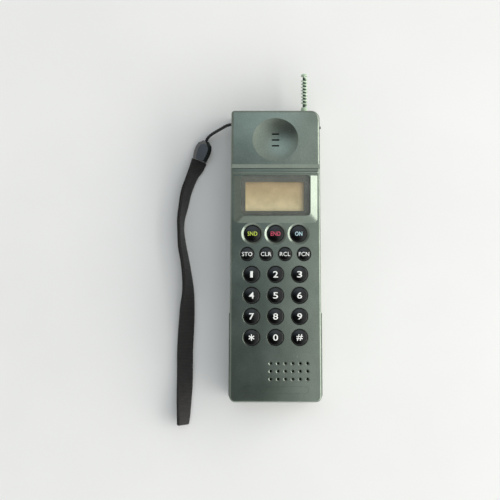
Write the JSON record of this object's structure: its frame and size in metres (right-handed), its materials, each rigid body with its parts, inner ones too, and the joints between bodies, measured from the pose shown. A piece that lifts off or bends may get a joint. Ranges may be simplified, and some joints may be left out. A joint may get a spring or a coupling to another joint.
{
  "type": "handheld mobile telephone",
  "caption": "Brick-shaped handheld telephone lying on its back, with display, round keys, sliding rod antenna with coiled tip, clip-on battery pack and wrist strap.",
  "frame": {"origin": "on the flat of the back, on the centre line, half way along the case", "axes": "+X to the right seen from the front, +Y along the case to the antenna end, +Z out of the keypad face"},
  "size_m": [0.0961, 0.2305, 0.036],
  "materials": {
    "case_paint": "moulded plastic with a fine grey-green metallic paint",
    "window": "clear acrylic with a printed grey border",
    "display_glass": "liquid crystal cell with reflective polariser",
    "display_light": "frosted acrylic light guide",
    "white_plastic": "moulded white frame",
    "strip_rubber": "layered conductive silicone strip",
    "key_gloss": "glossy black cap with printed legend",
    "key_rubber": "silicone rubber",
    "board_green": "glass-fibre board with green solder mask",
    "chip_black": "moulded epoxy package",
    "can_steel": "tinned steel sheet",
    "silvered_ceramic": "silver-plated ceramic block",
    "screw_steel": "blackened steel screw",
    "black_plastic": "black moulded nylon",
    "speaker_can": "moulded earpiece housing",
    "foam": "closed-cell foam ring",
    "gold_spring": "gold-plated spring metal",
    "rod_steel": "plated steel rod",
    "coil_wire": "pale green coated spring wire",
    "pale_green": "moulded pale green plastic",
    "cell_can": "plain metal cell can",
    "nickel_strip": "nickel strip",
    "slider_gloss": "glossy black moulding",
    "cord_black": "laid black nylon cord",
    "webbing_black": "ribbed black nylon webbing",
    "plug_rubber": "black rubber plug"
  },
  "bodies": {
    "handset": {"front_cover": "case_paint", "rear_cover": "case_paint", "case_screws": "screw_steel", "display_window": "window", "display_frame": "white_plastic", "display_glass": "display_glass", "display_light": "display_light", "display_strips": "strip_rubber", "keypad_mat": "key_rubber", "logic_board": "board_green", "logic_chips": "chip_black", "radio_board": "board_green", "shield_can": "can_steel", "radio_chips": "chip_black", "duplexer": "silvered_ceramic", "power_amplifier": "chip_black", "board_header": "black_plastic", "earpiece": "speaker_can", "earpiece_gasket": "foam", "microphone_boot": "key_rubber", "microphone": "can_steel", "ringer": "black_plastic", "antenna_bushing": "black_plastic", "antenna_tube": "black_plastic", "antenna_contact": "gold_spring", "battery_contacts": "gold_spring", "strap_bar": "screw_steel", "strap_cord": "cord_black", "strap_slider": "slider_gloss", "strap_webbing": "webbing_black", "flank_plug": "plug_rubber"},
    "button_send": {"key_send": "key_gloss"},
    "button_end": {"key_end": "key_gloss"},
    "button_power": {"key_power": "key_gloss"},
    "button_store": {"key_store": "key_gloss"},
    "button_clear": {"key_clear": "key_gloss"},
    "button_recall": {"key_recall": "key_gloss"},
    "button_function": {"key_function": "key_gloss"},
    "button_1": {"key_1": "key_gloss"},
    "button_2": {"key_2": "key_gloss"},
    "button_3": {"key_3": "key_gloss"},
    "button_4": {"key_4": "key_gloss"},
    "button_5": {"key_5": "key_gloss"},
    "button_6": {"key_6": "key_gloss"},
    "button_7": {"key_7": "key_gloss"},
    "button_8": {"key_8": "key_gloss"},
    "button_9": {"key_9": "key_gloss"},
    "button_star": {"key_star": "key_gloss"},
    "button_0": {"key_0": "key_gloss"},
    "button_hash": {"key_hash": "key_gloss"},
    "antenna": {"antenna_rod": "rod_steel", "antenna_ferrule": "pale_green", "antenna_coil": "coil_wire", "antenna_core": "pale_green"},
    "battery_pack": {"battery_case": "case_paint", "battery_lid": "black_plastic", "battery_cells": "cell_can", "battery_links": "nickel_strip", "battery_terminals": "gold_spring"},
    "pack_latch": {"battery_latch": "black_plastic"}
  },
  "joints": [
    {"name": "press_send", "type": "slide", "parent": "handset", "child": "button_send", "axis": [0, 0, -1], "range_m": [0, 0.0009], "stiffness_N_per_m": 600, "deforming": ["keypad_mat"]},
    {"name": "press_end", "type": "slide", "parent": "handset", "child": "button_end", "axis": [0, 0, -1], "range_m": [0, 0.0009], "stiffness_N_per_m": 600, "deforming": ["keypad_mat"]},
    {"name": "press_power", "type": "slide", "parent": "handset", "child": "button_power", "axis": [0, 0, -1], "range_m": [0, 0.0009], "stiffness_N_per_m": 600, "deforming": ["keypad_mat"]},
    {"name": "press_store", "type": "slide", "parent": "handset", "child": "button_store", "axis": [0, 0, -1], "range_m": [0, 0.0009], "stiffness_N_per_m": 600, "deforming": ["keypad_mat"]},
    {"name": "press_clear", "type": "slide", "parent": "handset", "child": "button_clear", "axis": [0, 0, -1], "range_m": [0, 0.0009], "stiffness_N_per_m": 600, "deforming": ["keypad_mat"]},
    {"name": "press_recall", "type": "slide", "parent": "handset", "child": "button_recall", "axis": [0, 0, -1], "range_m": [0, 0.0009], "stiffness_N_per_m": 600, "deforming": ["keypad_mat"]},
    {"name": "press_function", "type": "slide", "parent": "handset", "child": "button_function", "axis": [0, 0, -1], "range_m": [0, 0.0009], "stiffness_N_per_m": 600, "deforming": ["keypad_mat"]},
    {"name": "press_1", "type": "slide", "parent": "handset", "child": "button_1", "axis": [0, 0, -1], "range_m": [0, 0.0009], "stiffness_N_per_m": 600, "deforming": ["keypad_mat"]},
    {"name": "press_2", "type": "slide", "parent": "handset", "child": "button_2", "axis": [0, 0, -1], "range_m": [0, 0.0009], "stiffness_N_per_m": 600, "deforming": ["keypad_mat"]},
    {"name": "press_3", "type": "slide", "parent": "handset", "child": "button_3", "axis": [0, 0, -1], "range_m": [0, 0.0009], "stiffness_N_per_m": 600, "deforming": ["keypad_mat"]},
    {"name": "press_4", "type": "slide", "parent": "handset", "child": "button_4", "axis": [0, 0, -1], "range_m": [0, 0.0009], "stiffness_N_per_m": 600, "deforming": ["keypad_mat"]},
    {"name": "press_5", "type": "slide", "parent": "handset", "child": "button_5", "axis": [0, 0, -1], "range_m": [0, 0.0009], "stiffness_N_per_m": 600, "deforming": ["keypad_mat"]},
    {"name": "press_6", "type": "slide", "parent": "handset", "child": "button_6", "axis": [0, 0, -1], "range_m": [0, 0.0009], "stiffness_N_per_m": 600, "deforming": ["keypad_mat"]},
    {"name": "press_7", "type": "slide", "parent": "handset", "child": "button_7", "axis": [0, 0, -1], "range_m": [0, 0.0009], "stiffness_N_per_m": 600, "deforming": ["keypad_mat"]},
    {"name": "press_8", "type": "slide", "parent": "handset", "child": "button_8", "axis": [0, 0, -1], "range_m": [0, 0.0009], "stiffness_N_per_m": 600, "deforming": ["keypad_mat"]},
    {"name": "press_9", "type": "slide", "parent": "handset", "child": "button_9", "axis": [0, 0, -1], "range_m": [0, 0.0009], "stiffness_N_per_m": 600, "deforming": ["keypad_mat"]},
    {"name": "press_star", "type": "slide", "parent": "handset", "child": "button_star", "axis": [0, 0, -1], "range_m": [0, 0.0009], "stiffness_N_per_m": 600, "deforming": ["keypad_mat"]},
    {"name": "press_0", "type": "slide", "parent": "handset", "child": "button_0", "axis": [0, 0, -1], "range_m": [0, 0.0009], "stiffness_N_per_m": 600, "deforming": ["keypad_mat"]},
    {"name": "press_hash", "type": "slide", "parent": "handset", "child": "button_hash", "axis": [0, 0, -1], "range_m": [0, 0.0009], "stiffness_N_per_m": 600, "deforming": ["keypad_mat"]},
    {"name": "antenna_slide", "type": "slide", "parent": "handset", "child": "antenna", "axis": [0, 1, 0], "range_m": [0, 0.0945]},
    {"name": "pack_slide", "type": "slide", "parent": "handset", "child": "battery_pack", "axis": [0, -1, 0], "range_m": [0, 0.06], "deforming": ["battery_latch"]},
    {"name": "latch_flex", "type": "hinge", "parent": "handset", "child": "pack_latch", "pos_m": [0, -0.016, 0.0016], "axis": [-1, 0, 0], "range_deg": [0, 3], "stiffness_Nm_per_rad": 0.2}
  ]
}
